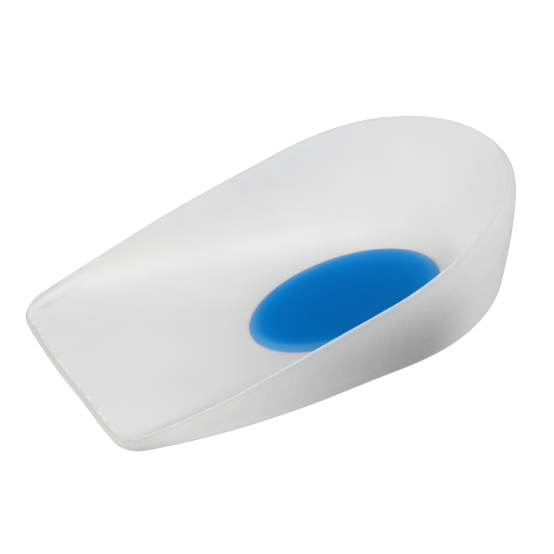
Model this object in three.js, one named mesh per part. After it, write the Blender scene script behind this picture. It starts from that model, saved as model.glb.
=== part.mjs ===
import * as THREE from 'three';

// Silicone heel cup with a softer oval spot let into its floor.
// Millimetres, +Z up. X is the width, Y the length with the heel at +Y, and the sole is on Z = 0.

// Plan of the cup
const LENGTH = 105;
const HALF_WIDTH = 31.2;
const HEEL_REACH = 41.5;
const FRONT_HALF_WIDTH = 26.6;
const FRONT_BOW = 0.75;
const CORNER_ROUND = 5.4;
const SIDE_TAPER = THREE.MathUtils.degToRad(11.5);
const SIDE_EASE_FRONT = 15.8;
const SIDE_EASE_HEEL = 33.7;

// Sizes of the wall along the cup, from the front edge (0) to the back of the heel (1).
// rim: height of the rim. waist: share of that height where the outside is widest. lip: distance from
// the widest line to the inside of the rim. slant: how far the flank draws in from the widest line
// down to the sole. round: radius of the corner between flank and sole. run: distance from the widest
// line to the foot of the wall on the floor.
const SECTIONS = [
  { along: 0.0, rim: 2.6, waist: 0.5, lip: 0.7, slant: 0.15, round: 0.8, run: 3.0 },
  { along: 0.2, rim: 7.6, waist: 0.33, lip: 1.65, slant: 0.25, round: 1.25, run: 7.0 },
  { along: 0.4, rim: 13.8, waist: 0.24, lip: 1.85, slant: 0.5, round: 2.05, run: 9.8 },
  { along: 0.6, rim: 19.4, waist: 0.34, lip: 2.1, slant: 1.5, round: 3.6, run: 10.6 },
  { along: 0.8, rim: 25.1, waist: 0.57, lip: 2.35, slant: 1.9, round: 3.3, run: 11.5 },
  { along: 1.0, rim: 29.0, waist: 0.91, lip: 2.6, slant: 3.2, round: 3.35, run: 14.0 },
];

// Curves of the wall in section, as powers: 1 is straight for the flank and the lean, and an ellipse
// for the foot of the inside
const FLANK_CURVE = 1.5;
const LEAN_CURVE = 1.3;
const INSIDE_FOOT = 1.12;

// Crest of the rim: its radius as a share of the lip, and the angle at which the lean runs into it
const CREST_ROUND = 0.12;
const CREST_START = THREE.MathUtils.degToRad(30);

// Upper face of the floor: its rise from the front edge to the heel, and from its middle line
// to the full half width
const FRONT_THICKNESS = 2.6;
const FLOOR_RISE = 1.4;
const FLOOR_DISH = 1.8;

// Oval spot under the heel, a little to the inner side and turned
const SPOT_CENTRE = new THREE.Vector2(5.7, 11.2);
const SPOT_HALF_LENGTH = 23.6;
const SPOT_HALF_WIDTH = 13.8;
const SPOT_TURN = THREE.MathUtils.degToRad(9.5);
const SPOT_PROUD = 1.0;
const SPOT_SHOULDER = 1.5;
const SPOT_GAP = 0.3;
const POCKET_FLOOR = 1.2;

// Fineness of the facets
const FRONT_STEPS = 4;
const CORNER_STEPS = 5;
const SIDE_STEPS = 12;
const HEEL_STEPS = 21;
const ROUND_STEPS = 5;
const FLANK_STEPS = 4;
const LEAN_STEPS = 5;
const CREST_STEPS = 5;
const BOWL_STEPS = 8;
const FLOOR_STEPS = 3;
const SPOT_SIDES = 56;
const SHOULDER_STEPS = 3;
const SPOT_RINGS = 4;

const SILICONE = { color: 0xe2e4e5, roughness: 0.45, metalness: 0 };
const SOFT_SILICONE = { color: 0x0b6cba, roughness: 0.4, metalness: 0 };

const FRONT_Y = -LENGTH / 2;
const WIDEST_Y = LENGTH / 2 - HEEL_REACH;
const COLUMNS = ['rim', 'waist', 'lip', 'slant', 'round', 'run'];
const SECTION_TRACK = new THREE.CubicInterpolant(
  SECTIONS.map((row) => row.along),
  SECTIONS.flatMap((row) => COLUMNS.map((column) => row[column])),
  COLUMNS.length,
);

// Share of the length from the front edge
function alongAt(y) {
  return THREE.MathUtils.clamp((y - FRONT_Y) / LENGTH, 0, 1);
}

// The wall's sizes at a place along the length
function sectionAt(y) {
  const values = SECTION_TRACK.evaluate(alongAt(y));
  return Object.fromEntries(COLUMNS.map((column, index) => [column, values[index]]));
}

// Height of the upper face of the floor
function floorHeight(x, y) {
  const ease = 1 - (1 - alongAt(y)) ** 2;
  return FRONT_THICKNESS + ease * (FLOOR_RISE + FLOOR_DISH * (x / HALF_WIDTH) ** 2);
}

// The curves of the right half of the plan, from the middle of the front to the back of the heel
function halfOutlineCurves() {
  const cornerStart = new THREE.Vector2(FRONT_HALF_WIDTH - CORNER_ROUND, FRONT_Y + FRONT_BOW);
  const front = new THREE.QuadraticBezierCurve(
    new THREE.Vector2(0, FRONT_Y),
    new THREE.Vector2(cornerStart.x / 2, FRONT_Y),
    cornerStart,
  );
  const sideWay = new THREE.Vector2(Math.sin(SIDE_TAPER), Math.cos(SIDE_TAPER));
  const cornerTip = cornerStart.clone().addScaledVector(front.getTangent(1), CORNER_ROUND);
  const cornerEnd = cornerTip.clone().addScaledVector(sideWay, CORNER_ROUND);
  const corner = new THREE.QuadraticBezierCurve(cornerStart, cornerTip, cornerEnd);
  const side = new THREE.CubicBezierCurve(
    cornerEnd,
    cornerEnd.clone().addScaledVector(sideWay, SIDE_EASE_FRONT),
    new THREE.Vector2(HALF_WIDTH, WIDEST_Y - SIDE_EASE_HEEL),
    new THREE.Vector2(HALF_WIDTH, WIDEST_Y),
  );
  const heel = new THREE.EllipseCurve(0, WIDEST_Y, HALF_WIDTH, HEEL_REACH, 0, Math.PI / 2);
  return [
    { curve: front, steps: FRONT_STEPS },
    { curve: corner, steps: CORNER_STEPS },
    { curve: side, steps: SIDE_STEPS },
    { curve: heel, steps: HEEL_STEPS },
  ];
}

// The whole plan, anticlockwise from above: each place with its outward direction and section
function cupOutline() {
  const right = [];
  for (const { curve, steps } of halfOutlineCurves()) {
    const first = right.length === 0 ? 0 : 1;
    for (let step = first; step <= steps; step += 1) {
      const point = curve.getPoint(step / steps);
      const tangent = curve.getTangent(step / steps);
      right.push({ point, outward: new THREE.Vector2(tangent.y, -tangent.x) });
    }
  }
  const left = right.slice(1, -1).reverse().map(({ point, outward }) => ({
    point: new THREE.Vector2(-point.x, point.y),
    outward: new THREE.Vector2(-outward.x, outward.y),
  }));
  return [...right, ...left].map((place) => ({ ...place, section: sectionAt(place.point.y) }));
}

// A plan point drawn in from the outline
function drawnIn({ point, outward }, inset) {
  return point.clone().addScaledVector(outward, -inset);
}

// A point of the spot's oval, scaled about its middle after it is made larger all round by grow
function ovalPoint(angle, scale, grow) {
  const across = (SPOT_HALF_WIDTH + grow) * scale * Math.cos(angle);
  const along = (SPOT_HALF_LENGTH + grow) * scale * Math.sin(angle);
  return new THREE.Vector2(across, along).rotateAround(new THREE.Vector2(), SPOT_TURN).add(SPOT_CENTRE);
}

// The oval's angle that faces a plan point
function ovalAngleTo(point) {
  const local = point.clone().sub(SPOT_CENTRE).rotateAround(new THREE.Vector2(), -SPOT_TURN);
  return Math.atan2(local.y / SPOT_HALF_LENGTH, local.x / SPOT_HALF_WIDTH);
}

// A closed surface through rings of points, whose first and last rings are single points
function loft(rings) {
  const positions = rings.flat().flatMap((point) => point.toArray());
  const indices = [];
  let start = 0;
  for (let level = 0; level + 1 < rings.length; level += 1) {
    const lower = rings[level].length;
    const upper = rings[level + 1].length;
    const sides = Math.max(lower, upper);
    for (let side = 0; side < sides; side += 1) {
      const next = (side + 1) % sides;
      const a = start + (side % lower);
      const b = start + (next % lower);
      const c = start + lower + (next % upper);
      const d = start + lower + (side % upper);
      if (upper > 1) indices.push(a, c, d);
      if (lower > 1) indices.push(a, b, c);
    }
    start += lower;
  }
  const geometry = new THREE.BufferGeometry();
  geometry.setAttribute('position', new THREE.Float32BufferAttribute(positions, 3));
  geometry.setIndex(indices);
  geometry.computeVertexNormals();
  return geometry;
}

// A point of the wall at an inset from the outline and a height
function wallPoint(place, inset, height) {
  const plan = drawnIn(place, inset);
  return new THREE.Vector3(plan.x, plan.y, height);
}

// How far the flank is drawn in at a height below the widest line
function flankInset({ section }, height) {
  return section.slant * (1 - height / (section.rim * section.waist)) ** FLANK_CURVE;
}

// Rings up the outside to the widest line: the rounded lower corner, then the flank
function flankRings(outline) {
  const rings = [];
  for (let step = 0; step <= ROUND_STEPS; step += 1) {
    const angle = (step / ROUND_STEPS) * (Math.PI / 2);
    rings.push(outline.map((place) => {
      const { round } = place.section;
      const height = round * (1 - Math.cos(angle));
      return wallPoint(place, flankInset(place, height) + round * (1 - Math.sin(angle)), height);
    }));
  }
  for (let step = 1; step <= FLANK_STEPS; step += 1) {
    rings.push(outline.map((place) => {
      const { rim, waist, round } = place.section;
      const height = THREE.MathUtils.lerp(round, rim * waist, step / FLANK_STEPS);
      return wallPoint(place, flankInset(place, height), height);
    }));
  }
  return rings;
}

// How far the crest drops to the inside of the rim: nothing where the rim meets the floor
function innerDrop(place) {
  const { rim, lip } = place.section;
  const edge = drawnIn(place, lip);
  const rise = Math.max(rim - floorHeight(edge.x, edge.y), 0);
  return Math.min(lip * CREST_ROUND, rise / 2);
}

// A point of the rounded crest: a right angle is its top, and two right angles its inside
function crestPoint(place, angle) {
  const { rim, lip } = place.section;
  const radius = lip * CREST_ROUND;
  const drop = angle < Math.PI / 2 ? radius : innerDrop(place);
  return wallPoint(place, lip - radius * (1 + Math.cos(angle)), rim - drop * (1 - Math.sin(angle)));
}

// Rings from the widest line: the outside leans in to the crest and goes over it
function rimRings(outline) {
  const rings = [];
  for (let step = 1; step <= LEAN_STEPS; step += 1) {
    const share = step / LEAN_STEPS;
    rings.push(outline.map((place) => {
      const { rim, waist, lip } = place.section;
      const radius = lip * CREST_ROUND;
      const inset = lip - radius * (1 + Math.cos(CREST_START));
      const top = rim - radius * (1 - Math.sin(CREST_START));
      return wallPoint(place, inset * share ** LEAN_CURVE, THREE.MathUtils.lerp(rim * waist, top, share));
    }));
  }
  for (let step = 1; step <= CREST_STEPS; step += 1) {
    const angle = THREE.MathUtils.lerp(CREST_START, Math.PI, step / CREST_STEPS);
    rings.push(outline.map((place) => crestPoint(place, angle)));
  }
  return rings;
}

// Rings down the inside of the wall to its foot on the floor
function bowlRings(outline) {
  const rings = [];
  for (let step = 1; step <= BOWL_STEPS; step += 1) {
    const angle = (step / BOWL_STEPS) * (Math.PI / 2);
    const inward = 1 - Math.cos(angle) ** INSIDE_FOOT;
    const left = 1 - Math.sin(angle) ** INSIDE_FOOT;
    rings.push(outline.map((place) => {
      const { rim, lip, run } = place.section;
      const edge = drawnIn(place, lip);
      const inset = THREE.MathUtils.lerp(lip, run, inward);
      const plan = drawnIn(place, inset);
      const rise = rim - innerDrop(place) - floorHeight(edge.x, edge.y);
      return wallPoint(place, inset, floorHeight(plan.x, plan.y) + rise * left);
    }));
  }
  return rings;
}

// Rings over the floor, from the foot of the wall to the edge of the pocket
function floorRings(outline) {
  const rings = [];
  for (let step = 1; step <= FLOOR_STEPS; step += 1) {
    rings.push(outline.map((place) => {
      const foot = drawnIn(place, place.section.run);
      const edge = ovalPoint(ovalAngleTo(foot), 1, SPOT_GAP);
      const plan = foot.lerp(edge, step / FLOOR_STEPS);
      return new THREE.Vector3(plan.x, plan.y, floorHeight(plan.x, plan.y));
    }));
  }
  return rings;
}

// The cup, from the middle of the sole round the wall and down into the pocket
function heelCup() {
  const outline = cupOutline();
  const floor = floorRings(outline);
  const pocketRing = floor.at(-1).map((point) => new THREE.Vector3(point.x, point.y, POCKET_FLOOR));
  const pocketMiddle = new THREE.Vector3(SPOT_CENTRE.x, SPOT_CENTRE.y, POCKET_FLOOR);
  const geometry = loft([
    [new THREE.Vector3(0, 0, 0)],
    ...flankRings(outline),
    ...rimRings(outline),
    ...bowlRings(outline),
    ...floor,
    pocketRing,
    [pocketMiddle],
  ]);
  const mesh = new THREE.Mesh(geometry, new THREE.MeshStandardMaterial(SILICONE));
  mesh.name = 'heel_cup';
  return mesh;
}

// A ring of the spot's upper face: inset from its edge, and scaled about its middle
function spotTopRing(inset, scale) {
  const proud = SPOT_PROUD * THREE.MathUtils.smoothstep(inset, 0, SPOT_SHOULDER);
  return Array.from({ length: SPOT_SIDES }, (_, side) => {
    const plan = ovalPoint((side / SPOT_SIDES) * 2 * Math.PI, scale, -inset);
    return new THREE.Vector3(plan.x, plan.y, floorHeight(plan.x, plan.y) + proud);
  });
}

// The spot, which fills the pocket and stands a little proud of the floor inside a soft shoulder
function softSpot() {
  const underside = POCKET_FLOOR + SPOT_GAP;
  const shoulder = [];
  for (let step = 0; step <= SHOULDER_STEPS; step += 1) {
    shoulder.push(spotTopRing((SPOT_SHOULDER * step) / SHOULDER_STEPS, 1));
  }
  const top = [];
  for (let ring = 1; ring < SPOT_RINGS; ring += 1) {
    top.push(spotTopRing(SPOT_SHOULDER, 1 - ring / SPOT_RINGS));
  }
  const topMiddle = floorHeight(SPOT_CENTRE.x, SPOT_CENTRE.y) + SPOT_PROUD;
  const geometry = loft([
    [new THREE.Vector3(SPOT_CENTRE.x, SPOT_CENTRE.y, underside)],
    shoulder[0].map((point) => new THREE.Vector3(point.x, point.y, underside)),
    ...shoulder,
    ...top,
    [new THREE.Vector3(SPOT_CENTRE.x, SPOT_CENTRE.y, topMiddle)],
  ]);
  const mesh = new THREE.Mesh(geometry, new THREE.MeshStandardMaterial(SOFT_SILICONE));
  mesh.name = 'soft_spot';
  return mesh;
}

const insole = new THREE.Group();
insole.add(heelCup(), softSpot());

export default insole;
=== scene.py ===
"""Looks of a silicone heel insole: a milky cup with a blue, softer spot let into its floor.

The part lies on its sole with +Z up and the heel towards +Y. The shape rules of both pieces are
written in millimetres, and the last step of each shape tree brings them to metres.
"""

import logging
import math
from dataclasses import dataclass, fields
from enum import Enum
from typing import Union

import bpy
from mathutils import Matrix, Vector


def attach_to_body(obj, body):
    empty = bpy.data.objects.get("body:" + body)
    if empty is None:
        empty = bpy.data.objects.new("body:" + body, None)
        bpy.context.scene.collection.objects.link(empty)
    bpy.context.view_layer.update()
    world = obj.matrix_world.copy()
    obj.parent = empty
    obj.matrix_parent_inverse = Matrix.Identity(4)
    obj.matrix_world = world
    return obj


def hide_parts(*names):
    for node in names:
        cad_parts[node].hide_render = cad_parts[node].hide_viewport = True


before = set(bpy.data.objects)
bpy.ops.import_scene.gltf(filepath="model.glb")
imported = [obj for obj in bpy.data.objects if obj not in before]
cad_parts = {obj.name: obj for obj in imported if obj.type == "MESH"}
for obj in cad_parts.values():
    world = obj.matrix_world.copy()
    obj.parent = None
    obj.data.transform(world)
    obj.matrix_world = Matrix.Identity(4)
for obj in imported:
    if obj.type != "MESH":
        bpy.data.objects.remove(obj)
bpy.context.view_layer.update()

METRES_PER_MM = 0.001
QUARTER_TURN = math.pi / 2
FULL_TURN = math.pi * 2
SILICONE_IOR = 1.41
BODY = "root"

log = logging.getLogger("heel_insole")


class Slot(Enum):
    """Material slots of the record."""

    MILKY = "milky_silicone"
    BLUE = "blue_silicone"


class Node(Enum):
    """CAD nodes that the pieces stand for."""

    CUP = "heel_cup"
    SPOT = "soft_spot"


class Mark(Enum):
    """Names of the values that a shape tree leaves on its mesh for the finishes to read."""

    OUTSIDE = "outside"
    # light and shade painted along lines: painted highlights above zero, painted shade below
    LINE = "line"
    EDGE = "edge_mm"


Socket = bpy.types.NodeSocket
Number = Union["Field", float]
Colour = tuple[float, float, float]


def put_in_scene(name: str, data: bpy.types.ID) -> bpy.types.Object:
    """Makes an object at the origin and links it to the scene.

    Args:
        name: the object's name.
        data: its mesh, light or camera.

    Returns:
        The object.
    """
    item = bpy.data.objects.new(name, data)
    bpy.context.scene.collection.objects.link(item)
    return item


def label(name: str) -> str:
    """Socket name of a field: its words with a capital first."""
    return name.replace("_", " ").capitalize()


class Graph:
    """Writes nodes into one node tree."""

    def __init__(self, tree: bpy.types.NodeTree) -> None:
        """Takes the tree to write into."""
        self.tree = tree

    def open_socket(self, name: str, way: str, kind: str) -> bpy.types.NodeTreeInterfaceSocket:
        """Gives the tree an input or an output.

        Args:
            name: the socket's name.
            way: INPUT or OUTPUT.
            kind: Blender's name of the socket type.

        Returns:
            The socket's entry in the tree's interface.
        """
        return self.tree.interface.new_socket(name, in_out=way, socket_type=kind)

    def add(self, kind: str, **settings: object) -> bpy.types.Node:
        """Adds a node.

        Args:
            kind: Blender's name of the node type.
            settings: properties of the node to set.

        Returns:
            The new node.
        """
        node = self.tree.nodes.new(kind)
        for name, value in settings.items():
            setattr(node, name, value)
        return node

    def feed(self, target: Socket, source: object) -> None:
        """Links a field or socket to an input, or sets the input to a plain value.

        Args:
            target: the input socket.
            source: a Field, an output socket, a number or a colour, which becomes opaque.
        """
        if isinstance(source, Field):
            source = source.socket
        if isinstance(source, Socket):
            self.tree.links.new(source, target)
        elif target.type == "RGBA":
            target.default_value = (*source, 1.0)
        else:
            target.default_value = source

    def call(
        self, kind: str, inputs: dict[str | int, object], output: str | int = 0, **settings: object
    ) -> Socket:
        """Adds a node and feeds its inputs.

        Args:
            kind: Blender's name of the node type.
            inputs: what goes into each input, by its name or place.
            output: name or place of the output to return.
            settings: properties of the node to set.

        Returns:
            The chosen output socket.
        """
        node = self.add(kind, **settings)
        for name, source in inputs.items():
            self.feed(node.inputs[name], source)
        return node.outputs[output]

    def field(
        self, kind: str, inputs: dict[str | int, object], output: str | int = 0, **settings: object
    ) -> "Field":
        """Does what call does, and returns the output as a Field."""
        return Field(self, self.call(kind, inputs, output, **settings))

    def parts(self, vector: Socket) -> tuple["Field", "Field", "Field"]:
        """Splits a vector into its three parts."""
        node = self.add("ShaderNodeSeparateXYZ")
        self.feed(node.inputs[0], vector)
        x, y, z = (Field(self, part) for part in node.outputs)
        return x, y, z

    def vector(self, x: object, y: object, z: object) -> Socket:
        """Joins three parts into a vector."""
        return self.call("ShaderNodeCombineXYZ", {"X": x, "Y": y, "Z": z})


@dataclass(frozen=True)
class Field:
    """A number that varies over a mesh or a surface. Arithmetic on it writes Math nodes."""

    graph: Graph
    socket: Socket

    def math(self, operation: str, *others: Number) -> "Field":
        """Adds one Math node.

        Args:
            operation: Blender's name of the operation.
            others: the operands after this one.

        Returns:
            The result.
        """
        node = self.graph.add("ShaderNodeMath", operation=operation)
        for target, source in zip(node.inputs, (self, *others)):
            self.graph.feed(target, source)
        return Field(self.graph, node.outputs[0])

    def __add__(self, other: Number) -> "Field":
        """Sum."""
        return self.math("ADD", other)

    def __radd__(self, other: float) -> "Field":
        """Sum with a plain number first."""
        return self.math("ADD", other)

    def __sub__(self, other: Number) -> "Field":
        """Difference."""
        return self.math("SUBTRACT", other)

    def __rsub__(self, other: float) -> "Field":
        """Difference from a plain number."""
        return self.math("MULTIPLY_ADD", -1.0, other)

    def __mul__(self, other: Number) -> "Field":
        """Product."""
        return self.math("MULTIPLY", other)

    def __rmul__(self, other: float) -> "Field":
        """Product with a plain number first."""
        return self.math("MULTIPLY", other)

    def __truediv__(self, other: Number) -> "Field":
        """Quotient."""
        return self.math("DIVIDE", other)

    def __pow__(self, other: Number) -> "Field":
        """Power."""
        return self.math("POWER", other)

    def sin(self) -> "Field":
        """Sine."""
        return self.math("SINE")

    def cos(self) -> "Field":
        """Cosine, kept from slipping under zero at a quarter turn."""
        return self.math("COSINE").at_least(0.0)

    def at_least(self, low: Number) -> "Field":
        """The larger of this and low."""
        return self.math("MAXIMUM", low)

    def at_most(self, high: Number) -> "Field":
        """The smaller of this and high."""
        return self.math("MINIMUM", high)

    def bump(self, centre: Number, width: Number) -> "Field":
        """A bell curve of height 1 about centre, which falls to a third at width."""
        off = (self - centre) / width
        return (0.0 - off * off).math("EXPONENT")

    def ramp(self, start: Number, end: Number) -> "Field":
        """A smooth step from 0 at start to 1 at end."""
        return self.graph.field(
            "ShaderNodeMapRange",
            {"Value": self, "From Min": start, "From Max": end},
            interpolation_type="SMOOTHSTEP",
        )

    def towards(self, other: "Field", share: "Field") -> "Field":
        """The value at a share of the way from this to other."""
        return self + (other - self) * share


@dataclass(frozen=True)
class Band:
    """A strip of quads that runs once round a piece.

    Attributes:
        mesh: the strip's grid.
        place: index of the place round the piece, at each point.
        across: 0 on the strip's first ring and 1 on its last.
    """

    mesh: Socket
    place: Field
    across: Field


class ShapeTree(Graph):
    """A Geometry Nodes tree that makes one closed piece from strips that run round it."""

    def __init__(self, name: str, floor: bpy.types.NodeTree) -> None:
        """Starts a tree with a mesh going in and a mesh coming out.

        Args:
            name: the tree's name.
            floor: the node group of the floor's height.
        """
        super().__init__(bpy.data.node_groups.new(name, "GeometryNodeTree"))
        self.floor = floor
        self.values: dict[str, object] = {}
        self.strips: list[Socket] = []
        self.open_socket("Plan", "INPUT", "NodeSocketGeometry")
        self.open_socket("Piece", "OUTPUT", "NodeSocketGeometry")
        self.entry = self.add("NodeGroupInput")

    def size(self, name: str, value: float | int | bpy.types.Material) -> Field:
        """Adds a named input for a size.

        Args:
            name: the input's name.
            value: what the modifier gives it.

        Returns:
            The input, as a field.
        """
        kinds = {
            int: "NodeSocketInt",
            float: "NodeSocketFloat",
            bpy.types.Material: "NodeSocketMaterial",
        }
        item = self.open_socket(name, "INPUT", kinds[type(value)])
        self.values[item.identifier] = value
        return Field(self, self.entry.outputs[name])

    def sizes(self, table: object) -> dict[str, Field]:
        """Adds a named input for each field of a dataclass, and returns them by field name."""
        names = [item.name for item in fields(table)]
        return {name: self.size(label(name), getattr(table, name)) for name in names}

    def floor_at(self, x: Field, y: Field) -> Field:
        """Height of the floor's upper face."""
        return self.field("GeometryNodeGroup", {"X": x, "Y": y}, node_tree=self.floor)

    def band(self, around: Field, steps: int) -> Band:
        """Starts a strip.

        Args:
            around: number of places round the piece.
            steps: number of quads across the strip.

        Returns:
            The strip, still flat.
        """
        rings = steps + 1
        mesh = self.call("GeometryNodeMeshGrid", {"Vertices X": around + 1.0, "Vertices Y": rings})
        index = self.field("GeometryNodeInputIndex", {})
        turn = ((index + 0.5) / float(rings)).math("FLOOR")
        return Band(mesh, turn.math("MODULO", around), (index - turn * float(rings)) / float(steps))

    def lay(self, band: Band, x: Field, y: Field, z: Number, marks: dict[Mark, Number]) -> None:
        """Shapes a strip and keeps it for the piece.

        Args:
            band: the strip.
            x: place of each point across the insole.
            y: place of each point along the insole.
            z: height of each point.
            marks: values to leave on the points.
        """
        point = self.vector(x, y, z)
        placed = self.call("GeometryNodeSetPosition", {"Geometry": band.mesh, "Position": point})
        for mark, value in marks.items():
            placed = self.call(
                "GeometryNodeStoreNamedAttribute",
                {"Geometry": placed, "Name": mark.value, "Value": value},
                data_type="FLOAT",
                domain="POINT",
            )
        self.strips.append(placed)

    def close(self, material: bpy.types.Material, weld: float, crease: float) -> None:
        """Joins the strips into one closed, smooth piece in metres and ends the tree.

        Args:
            material: finish of the piece.
            weld: distance in millimetres within which points are one.
            crease: angle between faces past which an edge stays sharp.
        """
        finish = self.size("Finish", material)
        joined = self.add("GeometryNodeJoinGeometry")
        for strip in reversed(self.strips):
            self.feed(joined.inputs[0], strip)
        whole = self.call(
            "GeometryNodeMergeByDistance",
            {"Geometry": joined.outputs[0], "Distance": self.size("Weld", weld)},
        )
        bend = self.field("GeometryNodeInputMeshEdgeAngle", {}, "Unsigned Angle")
        soft = bend.math("LESS_THAN", self.size("Crease", crease))
        for domain, smooth in (("FACE", True), ("EDGE", soft)):
            inputs = {"Geometry": whole, "Shade Smooth": smooth}
            whole = self.call("GeometryNodeSetShadeSmooth", inputs, domain=domain)
        metric = self.call("GeometryNodeTransform", {"Geometry": whole, "Scale": (METRES_PER_MM,) * 3})
        real = self.call("GeometryNodeRealizeInstances", {"Geometry": metric})
        dressed = self.call("GeometryNodeSetMaterial", {"Geometry": real, "Material": finish})
        self.feed(self.add("NodeGroupOutput").inputs["Piece"], dressed)

    def grow(self, name: str, plan: bpy.types.Mesh) -> bpy.types.Object:
        """Runs the tree on a plan and keeps the result as a plain mesh.

        Args:
            name: the piece's name.
            plan: the mesh that goes in.

        Returns:
            The piece, at the origin, with no modifier left.
        """
        piece = put_in_scene(name, plan)
        modifier = piece.modifiers.new(self.tree.name, "NODES")
        modifier.node_group = self.tree
        for identifier, value in self.values.items():
            modifier[identifier] = value
        graph = bpy.context.evaluated_depsgraph_get()
        grown = bpy.data.meshes.new_from_object(piece.evaluated_get(graph), depsgraph=graph)
        piece.modifiers.clear()
        piece.data = grown
        grown.name = name
        bpy.data.meshes.remove(plan)
        return piece


@dataclass(frozen=True)
class FloorRule:
    """Upper face of the cup's floor: it rises towards the heel, and from its middle to its sides.

    Attributes:
        length: length of the insole.
        half_width: half of its largest width.
        front_thickness: thickness of the floor at the front edge.
        floor_rise: how much higher the middle of the floor is at the heel.
        floor_dish: how much higher than its middle the sides of the floor are at the heel.
    """

    length: float = 105.0
    half_width: float = 31.2
    front_thickness: float = 2.6
    floor_rise: float = 1.4
    floor_dish: float = 1.8

    @property
    def front(self) -> float:
        """Place of the front edge along the insole."""
        return -self.length / 2

    def share(self, y: float) -> float:
        """Share of the length from the front edge."""
        return min(max((y - self.front) / self.length, 0.0), 1.0)

    def group(self) -> bpy.types.NodeTree:
        """Builds the rule as a node group that both shape trees use.

        Returns:
            The group, from X and Y to Height.
        """
        graph = Graph(bpy.data.node_groups.new("floor_height", "GeometryNodeTree"))
        for name in ("X", "Y"):
            graph.open_socket(name, "INPUT", "NodeSocketFloat")
        for item in fields(self):
            socket = graph.open_socket(item.name, "INPUT", "NodeSocketFloat")
            socket.default_value = getattr(self, item.name)
        graph.open_socket("Height", "OUTPUT", "NodeSocketFloat")
        entry = graph.add("NodeGroupInput")
        given = {socket.name: Field(graph, socket) for socket in entry.outputs if socket.name}
        along = (given["Y"] / given["length"] + 0.5).at_least(0.0).at_most(1.0)
        left = 1.0 - along
        side = given["X"] / given["half_width"]
        rise = given["floor_rise"] + given["floor_dish"] * side * side
        height = given["front_thickness"] + (1.0 - left * left) * rise
        graph.feed(graph.add("NodeGroupOutput").inputs["Height"], height)
        return graph.tree


@dataclass(frozen=True)
class SpotOval:
    """Plan of the oval spot, and how it sits in its pocket.

    Attributes:
        centre_x: place of its middle across the insole.
        centre_y: place of its middle along the insole.
        half_width: half of its width.
        half_length: half of its length.
        turn: how far it is turned, anticlockwise from above.
        proud: how far its top stands above the floor.
        shoulder: width of the soft step up to that top.
        pocket_floor: height of the pocket's bottom.
        underside: height of the spot's underside.
    """

    centre_x: float = 5.7
    centre_y: float = 11.2
    half_width: float = 13.8
    half_length: float = 23.6
    turn: float = math.radians(9.5)
    proud: float = 1.0
    shoulder: float = 1.5
    pocket_floor: float = 1.2
    underside: float = 1.5

    def point(self, angle: Field, scale: Number, grow: Number) -> tuple[Field, Field]:
        """Point of the oval.

        Args:
            angle: the oval's own angle.
            scale: share of the way from the middle to the edge.
            grow: how much larger the oval is made all round.

        Returns:
            Place of the point across and along the insole.
        """
        across = angle.math("COSINE") * (grow + self.half_width) * scale
        along = angle.sin() * (grow + self.half_length) * scale
        x = across * math.cos(self.turn) - along * math.sin(self.turn) + self.centre_x
        y = across * math.sin(self.turn) + along * math.cos(self.turn) + self.centre_y
        return x, y

    def shares(self, x: Field, y: Field) -> tuple[Field, Field]:
        """A point of the plan measured across and along the oval, where its edge is at 1."""
        off_x = x - self.centre_x
        off_y = y - self.centre_y
        across = off_x * math.cos(self.turn) + off_y * math.sin(self.turn)
        along = off_y * math.cos(self.turn) - off_x * math.sin(self.turn)
        return across / self.half_width, along / self.half_length

    def angle_to(self, x: Field, y: Field) -> Field:
        """The oval's angle that faces a point of the plan."""
        across, along = self.shares(x, y)
        return along.math("ARCTAN2", across)

    def reach(self, x: Field, y: Field) -> Field:
        """How far a point of the plan is from the oval's middle, where the edge is at 1."""
        across, along = self.shares(x, y)
        return (across * across + along * along).math("SQRT")


@dataclass(frozen=True)
class Section:
    """Sizes of the wall at one place along the cup.

    Attributes:
        along: share of the length from the front edge.
        rim: height of the rim.
        waist: share of that height where the outside is widest.
        lip: distance from the widest line to the inside of the rim.
        slant: how far the flank draws in from the widest line down to the sole.
        round: radius of the corner between flank and sole.
        run: distance from the widest line to the foot of the wall on the floor.
    """

    along: float
    rim: float
    waist: float
    lip: float
    slant: float
    round: float
    run: float


SECTIONS = (
    Section(along=0.0, rim=2.6, waist=0.5, lip=0.7, slant=0.15, round=0.8, run=3.0),
    Section(along=0.2, rim=7.6, waist=0.33, lip=1.65, slant=0.25, round=1.25, run=7.0),
    Section(along=0.4, rim=13.8, waist=0.24, lip=1.85, slant=0.5, round=2.05, run=9.8),
    Section(along=0.6, rim=19.4, waist=0.34, lip=2.1, slant=1.5, round=3.6, run=10.6),
    Section(along=0.8, rim=25.1, waist=0.57, lip=2.35, slant=1.9, round=3.3, run=11.5),
    Section(along=1.0, rim=29.0, waist=0.91, lip=2.6, slant=3.2, round=3.35, run=14.0),
)
SECTION_SIZES = tuple(item.name for item in fields(Section) if item.name != "along")


def section_size(name: str, along: float) -> float:
    """Reads a size of the wall between the table's rows, on a smooth curve through them.

    Args:
        name: the size's column.
        along: share of the length from the front edge.

    Returns:
        The size.
    """
    rows = [getattr(row, name) for row in SECTIONS]
    last = len(rows) - 1
    row = min(int(along * last), last - 1)
    share = along * last - row
    start, end = rows[row], rows[row + 1]
    slope_in = (end - rows[row - 1]) / 2 if row > 0 else end - start
    slope_out = (rows[row + 2] - start) / 2 if row + 2 <= last else end - start
    bend_in = share * (1 - share) ** 2 * slope_in
    bend_out = share**2 * (1 - share) * slope_out
    return start + (end - start) * share**2 * (3 - 2 * share) + bend_in - bend_out


def bezier(points: list[Vector], share: float) -> tuple[Vector, Vector]:
    """Point and direction on a Bezier curve, by blending its control points until two are left.

    Args:
        points: the control points.
        share: place on the curve, 0 to 1.

    Returns:
        The point and the unit direction.
    """
    line = points
    while len(line) > 2:
        line = [a.lerp(b, share) for a, b in zip(line, line[1:])]
    return line[0].lerp(line[1], share), (line[1] - line[0]).normalized()


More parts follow.
